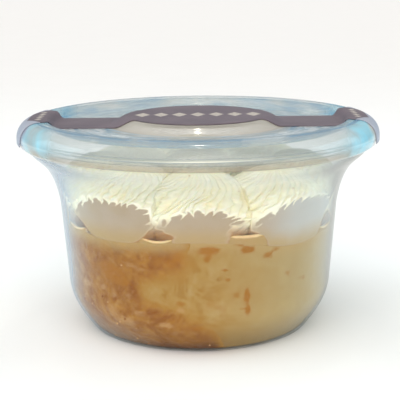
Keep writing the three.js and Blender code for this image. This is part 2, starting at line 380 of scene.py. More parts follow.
def lid_fog_and_painted_light(graph, x, y, z, smear, facing, share, body):
    """Painted light on the lid: reflection streaks round the channel, blue bends, bluer ends, a
    shaded plateau, the band's shade and a highlight line; and a fogged skirt.
    """
    radius = sqrt(x * x + y * y)
    turn = graph.math("ARCTAN2", x, y)
    along = graph.node("ShaderNodeCombineXYZ", values={
        "X": radius * 0.6, "Y": sin(turn) * 3.6, "Z": cos(turn) * 3.6})
    streak_reflection = graph.noise(along, 1.0, 4, 0.6, 0.4)
    plateau = graph.fall(radius, plateau_end - 2, plateau_end + 2)
    skirt = graph.step(radius, skirt_start - 1.5, skirt_start + 1.5)
    channel = (1 - plateau) * (1 - skirt)
    near = graph.step(-y, -12, 12) * 0.7 + 0.3
    # Painted light: the plateau takes the grey-beige of shaded cream, the channel a pale blue
    # reflection, and its streaks dark-blue and white reflections.
    body = coats(graph, body, (plateau, (178, 172, 160)), (channel, (186, 200, 206)),
                 (channel * graph.step(streak_reflection, 0.5, 0.62), (112, 160, 188)),
                 (channel * graph.fall(streak_reflection, 0.33, 0.43), (236, 244, 246)))
    share = share + channel * abs(streak_reflection - 0.45) * (near + 0.5) * facing * 1.8
    share = share + plateau * near * facing * 0.95
    ends = graph.step(abs(x) + smear * 8, ends_start, ends_start + 8)
    share = share + skirt * skirt_haze + ends * ends_haze
    low = graph.fall(z, 52.6, 54.6)
    skirt_tone = coats(graph, paint(178, 188, 188), (low, (174, 160, 138)))
    # The skirt takes its fogged tone and the ends a painted cyan reflection.
    body = coats(graph, body, (skirt, skirt_tone),
                 (ends * graph.step(smear, 0.3, 0.6), (150, 218, 238)))
    # Painted dark-blue reflections along the lid's bends.
    for middle, width, strength in lid_bend_reflections:
        off = (radius - middle) / width
        bend_reflection = exp(-(off * off)) * graph.step(streak_reflection, 0.38, 0.54) * near
        share = share + bend_reflection * strength * (facing * 0.9 + 0.25)
        body = graph.blend(minimum(bend_reflection * 1.8, 1.0), body, paint(92, 152, 188))
    # Painted shade of the band at both ends: grey-lilac on the left, paler on the right.
    film = graph.step(abs(x), band_shade_start - 0.6, band_shade_start + 0.9)
    film = film * graph.fall(abs(y), 15.5, 21.5)
    band_shade_tone = coats(graph, paint(158, 164, 182), (graph.step(x, -10, 10), (196, 194, 186)))
    body = graph.blend(film, body, band_shade_tone)
    share = share + film * 0.5
    # A painted highlight line along the skirt's bend.
    off = (z - glare_height) / 0.22
    glare = exp(-(off * off)) * (exp(x * x * -0.004) * 0.8 + 0.12)
    return share + glare * 0.45, graph.blend(glare, body, paint(246, 244, 226))


def clear_plastic(graph, place, tint, edge, gloss, haze, film_edge, glance, details=None):
    x, y, z = graph.xyz(place)
    smear = graph.noise(place, 60, 4, 0.6, 0.6)
    facing = graph.node("ShaderNodeLayerWeight", values={"Blend": 0.5}, output="Facing")
    upper = graph.step(z / MM, 1, 20) * 0.75 + 0.25
    share = facing ** 5 * film_edge * upper + haze * (smear + 0.5)
    # Painted light at the edges: a cool reflection on the left, a warm grey shade on the right and
    # a paler tone on the back half.
    rim_painted_light = graph.blend(graph.step(x / MM, -20, 30), edge, paint(100, 92, 76))
    rim_painted_light = graph.blend(graph.step(y / MM, 4, 16), rim_painted_light, paint(196, 198, 192))
    body = graph.blend(graph.step(facing, 0.5, 0.9), tint, rim_painted_light)
    if details:
        share, body = details(graph, x / MM, y / MM, z / MM, smear, facing, share, body)
    dense = graph.node("ShaderNodeBsdfPrincipled", values={
        "Base Color": body, "Roughness": 0.22, "IOR": 1.45})
    clear = graph.node("ShaderNodeBsdfTransparent", values={"Color": (0.98, 0.985, 0.985, 1)})
    film = graph.node("ShaderNodeMixShader", values={0: minimum(share, 0.9), 1: clear, 2: dense})
    mirror = graph.node("ShaderNodeBsdfGlossy", values={
        "Color": (1, 1, 1, 1), "Roughness": 0.09,
        "Normal": bumped(graph, graph.noise(place, 45, 2), 0.25)})
    shine = facing ** 5 * glance * upper + gloss
    return graph.node("ShaderNodeMixShader", values={0: shine, 1: film, 2: mirror})


cup_plastic = finish("clear_cup", lambda graph, place: clear_plastic(
    graph, place, paint(222, 230, 232), paint(108, 136, 160), 0.015, 0.012, 2.7, 0.45))
lid_plastic = finish("clear_lid", lambda graph, place: clear_plastic(
    graph, place, paint(186, 208, 214), paint(132, 172, 196), 0.03, 0.05, 0.7, 0.3,
    lid_fog_and_painted_light))

# %% [markdown]
# ## The cup and the lid
# The outlines repeat the solid model's sizes with many more steps. The largest radius and
# the top of the lid and of the cup come straight from the frame.

# %% Turn the cup
lid_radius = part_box("lid")[1].x / MM
lid_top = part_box("lid")[1].z / MM
flange_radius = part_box("cup")[1].x / MM
flange_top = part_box("cup")[1].z / MM
base_radius = 30.4
belly = (37.5, 14.2)
neck = (39.25, 35.6)
flare = (44.2, 47.7)
cup_wall = 0.8
flange_thickness = 0.8

cup_outside = outline(
    [(0, 0), (base_radius, 0)],
    bend((31.2, 0.4), (35.2, 5.6), (37.3, 9.0), belly),
    bend(neck, (39.95, 40.6), (41.6, 45.3), flare),
    bend((46.6, 49.8), (47.8, 51.0), (48.4, 51.9), (48.5, flange_top - flange_thickness)))
cup_inside = offset(cup_outside, cup_wall)[:-1]
cup_profile = eased(outline(
    cup_outside,
    [(flange_radius, flange_top - flange_thickness), (flange_radius, flange_top),
     (cup_inside[-1][0] + 0.35, flange_top)],
    cup_inside[::-1]))
cup = turned("cup_shell", cup_profile, cup_plastic)
seat(cup, "clear_cup", "cup")

# %% Turn the lid
lid_wall = 0.7
channel_floor = lid_top - 2.05
plateau_radius = 19.9
channel_radius = 39.9
crown_inner, crown_outer = 42.6, 45.6
skirt_widest = 54.3
lip_radius, lip_height = 49.0, 51.9
seat_radius, seat_bottom = 48.5, flange_top + 0.3

lid_upper = outline(
    [(0, lid_top), (plateau_radius - 0.8, lid_top)],
    bend((plateau_radius, lid_top), (21.6, lid_top - 0.2), (23.0, channel_floor + 0.2),
         (24.7, channel_floor)),
    bend((channel_radius, channel_floor), (41.2, channel_floor + 0.1), (41.3, lid_top - 0.3),
         (crown_inner, lid_top - 0.05)),
    bend((crown_outer, lid_top), (48.3, lid_top - 0.1), (lid_radius, 57.2),
         (lid_radius, skirt_widest)))
lid_under = offset(lid_upper, -lid_wall)
inner_radius = lid_radius - lid_wall
lid_profile = eased(outline(
    lid_upper[::-1],
    lid_under[lid_under[:, 1] > seat_bottom + 1.1],
    [(inner_radius, seat_bottom + 0.7), (seat_radius, seat_bottom + 0.7),
     (seat_radius, seat_bottom), (inner_radius, seat_bottom), (inner_radius, 53.4),
     (lip_radius - 0.3, lip_height + 0.35), (lip_radius, lip_height),
     (lip_radius + 0.9, 52.6)]))
lid = turned("lid_shell", lid_profile, lid_plastic)
seat(lid, "clear_lid", "lid")

# %% [markdown]
# ## The paper band
# A coated paper strip lies across the lid, widens to a disc on the plateau and folds over
# the lid's edge at both ends. Its mesh follows the lid's own outline, ring by ring, so it
# touches the lid everywhere. The print is a plain row of lozenges, worked out in the shader.

# %% Paper with a row of lozenges
print_spacing = 5.2
print_count = 7
lozenge = (2.2, 4.1)  # half length along the band and half width across it
tab_print_radius = 44.2
tab_widest = 41.0     # the printed tabs narrow from here outwards
tab_print_half = 14.4
tab_print_end = 47.3  # and the rest of the folded ends is bare film


def lozenges(graph, along, across, count, spacing, half_length, half_width):
    """1 inside a row of lozenges centred on 0."""
    shifted = along / spacing + (0.5 if count % 2 else 0.0)
    nearest = (graph.math("FRACT", shifted) - 0.5) * spacing
    reach = abs(nearest) / half_length
    reach = reach + abs(across) / half_width
    row = graph.math("LESS_THAN", abs(along), count * spacing / 2)
    return graph.fall(reach, 0.86, 1.06) * row


def coated_paper(graph, place):
    x, y, z = graph.xyz(place)
    x, y = x / MM, y / MM
    fibres = graph.noise(place, 700, 4, 0.65, 1.5)
    wear = graph.noise(place, 90, 4, 0.6)
    ground = coats(graph, paint(94, 83, 93), (graph.step(wear, 0.3, 0.75), (110, 97, 106)),
                   (fibres * 0.25, (134, 122, 130)))
    row = lozenges(graph, x, y, print_count, print_spacing, *lozenge)
    ends = abs(x) - tab_print_radius
    row = maximum(row, lozenges(graph, y, ends, 5, 3.4, 1.3, 1.1))
    ink = graph.step(graph.noise(place, 1500, 2), 0.25, 0.45) * 0.8
    color = coats(graph, ground, (row * ink, (205, 196, 184)))
    out, side = abs(x), abs(y)
    narrowed = tab_print_half - maximum(out - tab_widest, 0.0) * 1.25
    margin = maximum(graph.step(side - narrowed, -0.15, 0.15) * graph.step(out, 40, 40.5),
                     graph.step(out, tab_print_end - 0.15, tab_print_end + 0.15))
    color = graph.blend(margin, color, graph.blend(wear, paint(150, 154, 170),
                                                   paint(172, 176, 188)))
    return principled(graph, color, 0.42 + fibres * 0.16, 0.4,
                      {"Normal": bumped(graph, fibres, 0.03)})


paper = finish("plum_paper", coated_paper)

# %% Lay the band over the lid
disc_radius = 19.45
arm_half_width, tab_half_width = 9.6, 17.0
tab_start, tab_end = 40.0, 48.5
band_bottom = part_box("label_band")[0].z / MM
paper_lift, paper_thickness = 0.06, 0.22
across_steps, arc_steps = 28, 64

band_line = offset(outline(lid_upper, [(lid_radius, band_bottom)]), paper_lift)
band_line[:, 0] = np.maximum.accumulate(band_line[:, 0])
across = np.linspace(-1, 1, across_steps + 1)
arm_angle = math.asin(arm_half_width / disc_radius)
arm_angles = np.arcsin(across * math.sin(arm_angle))
arc = np.linspace(arm_angle, math.pi - arm_angle, arc_steps + 1)[1:-1]
disc_angles = np.concatenate((arm_angles, arc, arm_angles + math.pi, arc + math.pi))
height_at = lambda r: np.interp(r, band_line[:, 0], band_line[:, 1])


def arm_line(r):
    """The angles across an arm at radius r, wider where the tab starts."""
    half = arm_half_width
    for _ in range(4):
        x = math.sqrt(max(r * r - half * half, 1))
        half = np.interp(x, (tab_start, tab_end), (arm_half_width, tab_half_width))
    return np.arcsin(across * half / r)


vertices, faces = [(0, 0, height_at(0))], []
disc_rings = np.linspace(0, disc_radius, 14)[1:]
for r in disc_rings:
    vertices += [(r * math.cos(a), r * math.sin(a), height_at(r)) for a in disc_angles]
ring_length = len(disc_angles)
for i in range(ring_length):
    faces.append((0, 1 + i, 1 + (i + 1) % ring_length))
    for ring in range(len(disc_rings) - 1):
        a, b = 1 + ring * ring_length + i, 1 + ring * ring_length + (i + 1) % ring_length
        faces.append((a, a + ring_length, b + ring_length, b))
beyond = [(r, z) for r, z in band_line if r > disc_radius + 0.2]
last_ring = 1 + (len(disc_rings) - 1) * ring_length
for side, start in ((0, 0), (math.pi, across_steps + 1 + len(arc))):
    row = list(range(last_ring + start, last_ring + start + across_steps + 1))
    for r, z in beyond:
        first = len(vertices)
        vertices += [(r * math.cos(a + side), r * math.sin(a + side), z) for a in arm_line(r)]
        new_row = list(range(first, first + across_steps + 1))
        for i in range(across_steps):
            faces.append((row[i], new_row[i], new_row[i + 1], row[i + 1]))
        row = new_row
band = piece("paper_band", vertices, faces, paper)
if band.data.polygons[0].normal.z < 0:
    band.data.flip_normals()
thicken = band.modifiers.new("paper", "SOLIDIFY")
thicken.thickness = paper_thickness * MM
thicken.offset = 1
baked(band)
seat(band, "plum_paper", "label_band")

# %% [markdown]
# ## Where the cream stands
# Eight rosettes are piped round the wall and one in the middle. Each presses a hollow in
# the soft cake. The same sum gives that hollow to the cake's mesh and, as nodes, to the
# rosettes' feet, so both always agree.

# %% Rosettes, hollows and wall as sums
cake_level = 32.4
cream_top = 49.5
hollow_spread = 10
front_rosettes = [
    dict(angle=-37, reach=14.0, stand=28.2, sink=2.8, tip=cream_top, foot=0.78, lean=0.0),
    dict(angle=0, reach=12.8, stand=27.6, sink=0.5, tip=cream_top - 0.7, foot=0.9, lean=0.14),
    dict(angle=42, reach=14.0, stand=28.4, sink=6.0, tip=cream_top - 0.9, foot=0.8, lean=0.32)]
back_count = 5
back_start = front_rosettes[2]["angle"]
back_span = 360 - (back_start - front_rosettes[0]["angle"])
back_rosettes = [
    dict(angle=back_start + back_span * (k + 1) / (back_count + 1),
         reach=13.2 + 0.7 * math.sin(2.3 * k + 0.6), stand=28.0,
         sink=2.2 + 1.2 * math.cos(1.9 * k), tip=cream_top - 0.6 + 0.6 * math.cos(2.9 * k + 1),
         foot=0.84, lean=0.15 * math.sin(3.1 * k))
    for k in range(back_count)]
rosettes = front_rosettes + back_rosettes


def standing(rosette):
    return around(rosette["stand"], math.radians(rosette["angle"]))


def cake_top_at(x, y):
    """Height of the cake's top, for arrays of numbers or for wires."""
    z = cake_level
    for rosette in rosettes:
        away_x, away_y = x - standing(rosette)[0], y - standing(rosette)[1]
        square = away_x * away_x + away_y * away_y
        z = z - exp(square * (-0.5 / hollow_spread ** 2)) * rosette["sink"]
    return z


wall_knots = (22, 27, 31, 35, 38, 40.5, 42.5, 44, 45.2, 46.2, 47, 48, 49, 50, 51)
wall_radii = np.interp(wall_knots, cup_inside[1:, 1], cup_inside[1:, 0])


def wall_radius_at(z):
    """Inner radius of the cup between the knots, for numbers or wires."""
    slopes = np.diff(wall_radii) / np.diff(wall_knots)
    r = (z - wall_knots[0]) * float(slopes[0]) + float(wall_radii[0])
    for knot, change in zip(wall_knots[1:-1], np.diff(slopes)):
        r = r + maximum(z - knot, 0.0) * float(change)
    return r


print("wall radius at 40 mm:", round(float(wall_radius_at(40.0)), 2))

# %% [markdown]
# ## Whipped cream
# Cream is a pale yellow that scatters light a little. Where it is squeezed against the
# plastic the air is gone and it looks smoother and greyer, the grey partly painted shade,
# and near the cake it takes up milk and turns beige. Attributes from the piping tell the
# shader where that is: contact and flush where the cream lies on the wall, one for a
# painted highlight along its torn edge, and rise above the cake.


# %% Whipped cream
def whipped(graph, place):
    rise = graph.attribute("rise")
    flush = graph.attribute("flush")
    # A painted highlight along the torn edge of the pressed cream, high on the rosette.
    lifted_edge_highlight = graph.attribute("lifted_edge_highlight") * graph.step(rise, 5, 9)
    contact = maximum(graph.attribute("contact"), flush * graph.fall(rise, 3.5, 8))
    x, y, z = graph.xyz(place)
    cloud = graph.noise(place, 140, 4, 0.55, 0.4)
    grain = graph.noise(place, 1300, 4, 0.7)
    fleck = graph.step(graph.noise(place, 620, 2), 0.7, 0.76)
    free = coats(graph, paint(255, 252, 228), (graph.step(cloud, 0.32, 0.7), (255, 246, 212)),
                 (fleck * 0.5, (196, 150, 96)))
    # Painted cool light: the pressed cream turns a cooler grey towards the right.
    painted_cool_light = graph.step(x / MM + cloud * 8, 17, 30)
    # The grey of the pressed cream is partly its own, with the air pressed out, and partly painted
    # shade.
    pressed = coats(graph, paint(184, 168, 149), (graph.step(cloud, 0.3, 0.7), (178, 159, 133)),
                    (painted_cool_light, (190, 188, 182)))
    soaked = graph.fall(rise + cloud * 3, 1.5, 7.5)
    hollow = graph.fall(rise + cloud * 2, 3.0, 8) * (1 - flush)
    color = coats(graph, free, (contact, pressed), (lifted_edge_highlight * 0.8, (255, 250, 232)),
                  (soaked * contact * 0.85, (182, 154, 102)), (hollow * 0.95, (160, 110, 50)))
    return principled(graph, color, 0.55 - contact * 0.2, 0.3, {
        **soft_inside(0.3, (1.0, 0.72, 0.45), 2.5),
        "Normal": bumped(graph, grain * (1 - contact * 0.8), 0.12, 0.7)})


cream = finish("whipped_cream", whipped)

# %% [markdown]
# ## Piping the rosettes with Geometry Nodes
# A rosette follows a rule: cream leaves a star nozzle as ridges that twist while the coil
# climbs to a tip, and the wall, the neighbours and the cake flatten it. The tree bends a
# ball of rings and segments to that rule. Named inputs set the sizes, so one tree pipes
# all nine, and the formula is the one the solid model uses, with sharper grooves.

# %% The piping tree
ring_count, segment_count = 132, 300
coarse_rings, coarse_segments = 96, 180  # for the rosettes that the front hides
swirl_inputs = {
    "Rings": ring_count, "Segments": segment_count, "Heading": 0.0, "Left": 0.0, "Right": 0.0,
    "Stand": 29.0, "Reach": 14.0, "Tip": cream_top, "Foot": 0.84, "Spare Room": 0.6,
    "Inner Reach": 16.3, "Spread": 0.34, "Ridges": 30.0, "Ridge Depth": 0.06, "Turns": 2.1,
    "Twist": 1.4, "Lean": 0.0, "Peel": 1.7, "Seed": 0.0}
sole_share = 0.1       # share of the rings under the rosette
into_wall = 0.12       # how far the cream reaches into the plastic, so no gap shows
into_cake = 0.15


def new_tree(name, inputs, takes_mesh=False):
    """A Geometry Nodes tree with named inputs, and a wire for each."""
    tree = bpy.data.node_groups.new(name, "GeometryNodeTree")
    tree.interface.new_socket("Geometry", in_out="OUTPUT", socket_type="NodeSocketGeometry")
    if takes_mesh:
        tree.interface.new_socket("Geometry", in_out="INPUT", socket_type="NodeSocketGeometry")
    for label, value in inputs.items():
        kind = "NodeSocketInt" if isinstance(value, int) else "NodeSocketFloat"
        tree.interface.new_socket(label, in_out="INPUT", socket_type=kind).default_value = value
    tree.interface.new_socket("Material", in_out="INPUT", socket_type="NodeSocketMaterial")
    graph = Graph(tree)
    entry = graph.node("NodeGroupInput")
    return tree, graph, entry


def end_tree(graph, mesh, material):
    """Realize Instances and Set Material close every tree."""
    mesh = graph.node("GeometryNodeRealizeInstances", values={"Geometry": mesh})
    mesh = graph.node("GeometryNodeSetMaterial", values={"Geometry": mesh, "Material": material})
    graph.node("NodeGroupOutput", values={"Geometry": mesh})


def grown(name, tree, inputs, base=None):
    """Runs a tree on an object and keeps the result as a plain mesh."""
    thing = placed(name, base or bpy.data.meshes.new(name))
    modifier = thing.modifiers.new(name, "NODES")
    modifier.node_group = tree
    for item in tree.interface.items_tree:
        if item.in_out == "INPUT" and item.name in inputs:
            modifier[item.identifier] = inputs[item.name]
    return baked(thing)


def room_along(rosette, dx, dy, z):
    """How far cream can spread from a rosette's axis in direction dx, dy at height z."""
    cx, cy = rosette["cx"], rosette["cy"]
    toward = cx * dx + cy * dy
    wall = wall_radius_at(z) + into_wall
    stand = rosette["stand"]
    to_wall = sqrt(maximum(wall * wall - stand * stand + toward * toward, 0.01)) - toward
    to_neighbour = None
    for limit, sign in ((rosette["left"], -1.0), (rosette["right"], 1.0)):
        nx, ny = cos(limit) * sign, sin(limit) * sign
        facing = maximum(dx * nx + dy * ny, 0.0001)
        room = (rosette["spare"] - (cx * nx + cy * ny)) / facing
        to_neighbour = room if to_neighbour is None else minimum(to_neighbour, room)
    mx, my = sin(rosette["heading"]), -cos(rosette["heading"])
    inward = maximum(-(dx * mx + dy * my), 0.0001)
    to_centre = (stand - rosette["inner"]) / inward
    return to_wall, minimum(to_neighbour, to_centre)


def build_swirl_tree():
    tree, graph, entry = new_tree("piped swirl", swirl_inputs)
    given = entry.out
    ball = graph.node("GeometryNodeMeshUVSphere", values={
        "Segments": given("Segments"), "Rings": given("Rings"), "Radius": 1.0})
    place = graph.node("GeometryNodeInputPosition")
    x, y, z = graph.xyz(place)
    column = graph.math("ARCTAN2", y, x)
    level = graph.math("ARCSINE", z) / math.pi + 0.5
    t = maximum((level - sole_share) / (1 - sole_share), 0.0)
    sole = minimum(level / sole_share, 1.0)

    def seeded_noise(scale, detail):
        return graph.node("ShaderNodeTexNoise", {"noise_dimensions": "4D"}, {
            "Vector": place, "W": given("Seed"), "Scale": scale, "Detail": detail})

    wobble = seeded_noise(1.6, 2.0)
    angle = column + given("Twist") * t
    foot = minimum(t / 0.35, 1.0) * (1 - given("Foot")) + given("Foot")
    cone = maximum(1 - t ** 2.4, 0.0) ** 0.58 + t * 0.06
    close = minimum((1 - t) * 30, 1.0)
    groove = cos(given("Turns") * (2 * math.pi) * t - angle) * minimum(t * 4, 1.0) * 0.04 + 1
    flute = abs(sin((column + (wobble - 0.5) * 0.8) * given("Ridges") / 2))
    ridge = given("Ridge Depth") * (flute ** 0.8 * 1.7 - 1.0) * graph.step(t, 0.1, 0.4)
    ridge = ridge * (wobble * 2) + 1
    free = given("Reach") * foot * cone * close * groove * ridge * (wobble * 0.16 + 0.92)

    heading = given("Heading")
    rosette = {
        "cx": given("Stand") * sin(heading), "cy": -(given("Stand") * cos(heading)),
        "heading": heading, "left": given("Left"), "right": given("Right"),
        "stand": given("Stand"), "spare": given("Spare Room"), "inner": given("Inner Reach")}
    dx, dy = cos(angle + heading), sin(angle + heading)
    sideways = dx * cos(heading) + dy * sin(heading)
    spread = given("Spread") * (minimum(t * 2, 1.0) * 0.4 + 0.6)
    free = free * (spread * sideways * sideways + 1)
    guess_z = (given("Tip") - cake_level) * t + cake_level
    to_wall, to_others = room_along(rosette, dx, dy, guess_z)
    guess_r = minimum(free, minimum(to_wall, to_others)) * sole
    floor_z = cake_top_at(rosette["cx"] + guess_r * dx, rosette["cy"] + guess_r * dy) - into_cake
    high = floor_z + (given("Tip") - floor_z) * t

    to_wall, to_others = room_along(rosette, dx, dy, high)
    squeezed = graph.math("SMOOTH_MIN", free, to_others, 0.6)
    pressed = squeezed - to_wall
    flush = graph.step(pressed, -0.05, 0.35) * graph.step(t, 0.0, 0.03)
    leaned = sideways - given("Lean")
    peel = given("Peel") * graph.step(t, 0.12, 0.42)
    peeled = pressed - (leaned * leaned - given("Lean") * given("Lean")) * peel
    contact = graph.step(peeled, -0.05, 0.35) * graph.step(t, 0.0, 0.03)
    # A painted highlight just off the line where the cream leaves the wall.
    off_wall = (peeled + 0.45) / 0.4
    lifted_edge_highlight = exp(-(off_wall * off_wall)) * graph.step(t, 0.3, 0.45)
    squeezed = squeezed + (seeded_noise(14.0, 3.0) - 0.5) * 0.5 * sole
    r = graph.math("SMOOTH_MIN", squeezed, to_wall, 0.35) * sole
    spot = graph.node("ShaderNodeCombineXYZ", values={
        "X": (rosette["cx"] + r * dx) * MM, "Y": (rosette["cy"] + r * dy) * MM, "Z": high * MM})

    mesh = ball
    for label, value in (("contact", contact), ("flush", flush), ("lifted_edge_highlight", lifted_edge_highlight),
                         ("rise", high - floor_z)):
        mesh = graph.node("GeometryNodeStoreNamedAttribute", {"data_type": "FLOAT"}, {
            "Geometry": mesh, "Name": label, "Value": value})
    mesh = graph.node("GeometryNodeSetPosition", values={"Geometry": mesh, "Position": spot})
    end_tree(graph, mesh, given("Material"))
    return tree


swirl_tree = build_swirl_tree()
print("piping tree:", len(swirl_tree.nodes), "nodes")

# %% Pipe the nine rosettes
in_order = sorted(rosettes, key=lambda rosette: rosette["angle"])
for number, rosette in enumerate(rosettes, 1):
    place = in_order.index(rosette)
    left = in_order[place - 1]["angle"] - (360 if place == 0 else 0)
    right = in_order[(place + 1) % len(rosettes)]["angle"]
    right += 360 if place == len(rosettes) - 1 else 0
    behind = number > len(front_rosettes)
    swirl = grown(f"cream_swirl_{number}", swirl_tree, {
        **swirl_inputs, "Heading": math.radians(rosette["angle"]),
        "Left": math.radians((left + rosette["angle"]) / 2),
        "Right": math.radians((right + rosette["angle"]) / 2),
        "Stand": float(rosette["stand"]), "Reach": float(rosette["reach"]),
        "Tip": float(rosette["tip"]), "Foot": rosette["foot"], "Lean": rosette["lean"],
        "Seed": number * 3.7,
        "Material": cream,
        "Rings": coarse_rings if behind else ring_count,
        "Segments": coarse_segments if behind else segment_count})
    swirl.data.shade_smooth()
    seat(swirl, "whipped_cream", f"cream_rosette_{number}")
centre = grown("cream_swirl_middle", swirl_tree, {
    **swirl_inputs, "Stand": 0.0, "Reach": 14.2, "Tip": cream_top + 0.8, "Seed": 1.3,
    "Spread": 0.0, "Spare Room": 100.0, "Inner Reach": -100.0, "Material": cream,
    "Rings": coarse_rings, "Segments": coarse_segments})
centre.data.shade_smooth()
seat(centre, "whipped_cream", "cream_centre")

# %% [markdown]
# ## Soaked sponge and milk
# Below the cream the cup is full to the wall: brown soaked sponge on the left, and a pale
# mass of milk and crumb that has gathered on the right. One body is shaped to the cup and
# then cut in two along the edge that the front shows. The distance from that edge is kept
# as an attribute, so that the two finishes meet softly at the cut.

# %% Shape everything under the cream
around_steps, side_steps, top_steps, floor_steps = 520, 120, 22, 8
food_floor = cup_wall - 0.1
food_into_wall = 0.16

inside = cup_inside[1:] + np.array((food_into_wall, 0))
angles = np.arange(around_steps) * 2 * math.pi / around_steps
toward = np.stack((np.sin(angles), -np.cos(angles)), 1)
edge_guess = toward * np.interp(cake_level, inside[:, 1], inside[:, 0])
edge_height = cake_top_at(edge_guess[:, 0], edge_guess[:, 1])

rings = [toward * 0 + (0, 0)]
heights = [np.full(around_steps, food_floor)]
for share in np.linspace(0, 1, floor_steps + 1)[1:]:
    rings.append(toward * share * (base_radius - 0.5))
    heights.append(np.full(around_steps, food_floor))
for share in np.linspace(0, 1, side_steps + 1)[1:]:
    z = food_floor + (edge_height - food_floor) * share ** 1.4
    rings.append(toward * np.interp(z, inside[:, 1], inside[:, 0])[:, None])
    heights.append(z)
brim = rings[-1]
for inwards, rise in ((0.12, 0.25), (0.5, 0.38), (1.3, 0.2)):
    rings.append(brim - toward * inwards)
    heights.append(edge_height + rise)
for share in np.linspace(1, 0, top_steps + 1)[1:]:
    flat = brim * share * 0.99
    rings.append(flat)
    heights.append(cake_top_at(flat[:, 0], flat[:, 1]))

vertices = [(0, 0, food_floor)]
for flat, z in zip(rings[1:-1], heights[1:-1]):
    vertices += np.column_stack((flat, z)).tolist()
vertices.append((0, 0, heights[-1][0]))
faces, top = [], len(vertices) - 1
for i in range(around_steps):
    j = (i + 1) % around_steps
    faces.append((0, 1 + j, 1 + i))
    for ring in range(len(rings) - 3):
        a, b = 1 + ring * around_steps + i, 1 + ring * around_steps + j
        faces.append((a, b, b + around_steps, a + around_steps))
    faces.append((top - around_steps + i, top - around_steps + j, top))
food = piece("sponge_body", vertices, faces)
print("food body:", len(food.data.polygons), "faces")

# %% The milk's edge
milk_edge = np.array([(-1.6, 40), (-2.4, 29), (-4.6, 24), (-10.6, 21.8), (-14.8, 19.4),
                      (-13.4, 15.4), (-6.4, 13.1), (0.6, 9.4), (5.0, 5.2), (7.0, -4)], float)


def through(points, steps=14):
    """A smooth line through points."""
    padded = np.vstack((points[:1], points, points[-1:]))
    line = []
    for a, b, c, d in zip(padded, padded[1:], padded[2:], padded[3:]):
        for t in np.arange(steps) / steps:
            line.append(0.5 * (2 * b + (c - a) * t + (2 * a - 5 * b + 4 * c - d) * t ** 2
                               + (3 * b - a - 3 * c + d) * t ** 3))
    return np.vstack((line, points[-1:]))


block_reach = 60  # well beyond the cup
edge_seed = 11    # without a seed this noise follows the clock, and the edge would move
smooth_edge = through(milk_edge)
noise.seed_set(edge_seed)
ragged_edge = smooth_edge + [noise.noise_vector(Vector((x * 0.5, z * 0.5, 3)))[:2]
                             for x, z in smooth_edge]


def milk_block():
    """Everything to the right of the milk's edge."""
    ring = np.vstack((ragged_edge, [(block_reach, -4), (block_reach, 40)]))
    count = len(ring)
    corners = [(x, y, z) for y in (-block_reach, block_reach) for x, z in ring]
    sides = [(i, (i + 1) % count, (i + 1) % count + count, i + count) for i in range(count)]
    ends = [tuple(range(count)), tuple(range(2 * count - 1, count - 1, -1))]
    return piece("milk_block", corners, sides + ends)


def cut(name, operation):
    """A copy of the food body, cut by the milk's block."""
    thing = placed(name, food.data.copy())
    knife = milk_block()
    modifier = thing.modifiers.new("cut", "BOOLEAN")
    modifier.operation = operation
    modifier.solver = "EXACT"
    modifier.object = knife
    baked(thing)
    bpy.data.objects.remove(knife)
    return thing


# %% Marks on the wall
# Caramel stains and pale soaked flakes that show against the plastic, each as its x and
# height, half its width and height, and its strength.
stains = ((-22.7, 21.6, 3.6, 2.2, 1.0), (-24.4, 23.4, 2.6, 1.4, 0.8), (-20.8, 20.0, 2.8, 1.6, 0.9),
          (-11.9, 22.4, 3.4, 0.8, 0.8), (-8.8, 26.4, 3.8, 1.6, 0.6), (-5.1, 28.2, 2.6, 1.4, 0.7),
          (-15.5, 28.2, 5.0, 1.2, 0.5), (-28.6, 27.0, 2.4, 3.4, 0.5), (-11.9, 14.2, 0.9, 0.6, 1.5),
          (-28.5, 22.5, 0.4, 0.8, 1.4), (-0.4, 8.0, 2.6, 0.7, 1.1), (-5.1, 15.2, 1.3, 0.8, 0.8),
          (2.4, 29.6, 2.9, 1.2, 1.0), (2.0, 27.4, 1.1, 1.0, 0.9), (12.4, 31.0, 4.4, 0.9, 0.8),
          (12.3, 29.3, 1.9, 0.9, 1.1), (17.6, 27.3, 1.5, 1.3, 0.8), (20.0, 28.6, 1.2, 0.8, 0.7),
          (6.7, 24.3, 1.5, 0.5, 0.7), (7.2, 21.6, 1.0, 0.6, 0.9), (12.3, 16.8, 0.8, 2.1, 1.4),
          (12.5, 12.8, 0.8, 1.8, 0.9), (11.2, 13.2, 1.2, 0.3, 0.7), (9.6, 17.1, 1.4, 1.0, 0.35),
          (2.6, 14.6, 2.2, 2.2, 0.45), (5.8, 13.4, 2.2, 2.2, 0.4), (4.3, 10.2, 0.8, 0.5, 0.6),
          (23.0, 21.2, 0.9, 1.1, 0.4), (27.4, 18.6, 2.0, 0.8, 0.45))
flakes = ((-30.5, 16.7, 1.2, 1.2, 1.0), (-25.7, 17.1, 0.9, 0.9, 0.7), (-22.8, 16.1, 1.1, 1.6, 0.7),
          (-18.6, 16.2, 1.0, 1.1, 0.6), (-16.0, 11.5, 1.8, 0.8, 0.8), (-19.1, 8.4, 2.4, 1.3, 1.0),
          (-5.1, 13.3, 1.3, 0.9, 0.8), (-9.6, 8.8, 1.5, 0.9, 0.8), (-7.8, 8.6, 1.1, 0.8, 0.6),
          (-24.4, 10.3, 3.4, 2.6, 0.6), (-32.0, 31.9, 1.3, 0.8, 1.2), (-17.7, 24.9, 2.2, 0.7, 0.6),
          (-14.5, 23.9, 2.2, 0.6, 0.6), (-33.4, 24.0, 1.0, 3.0, 0.5), (-31.8, 21.0, 0.8, 1.4, 0.7))


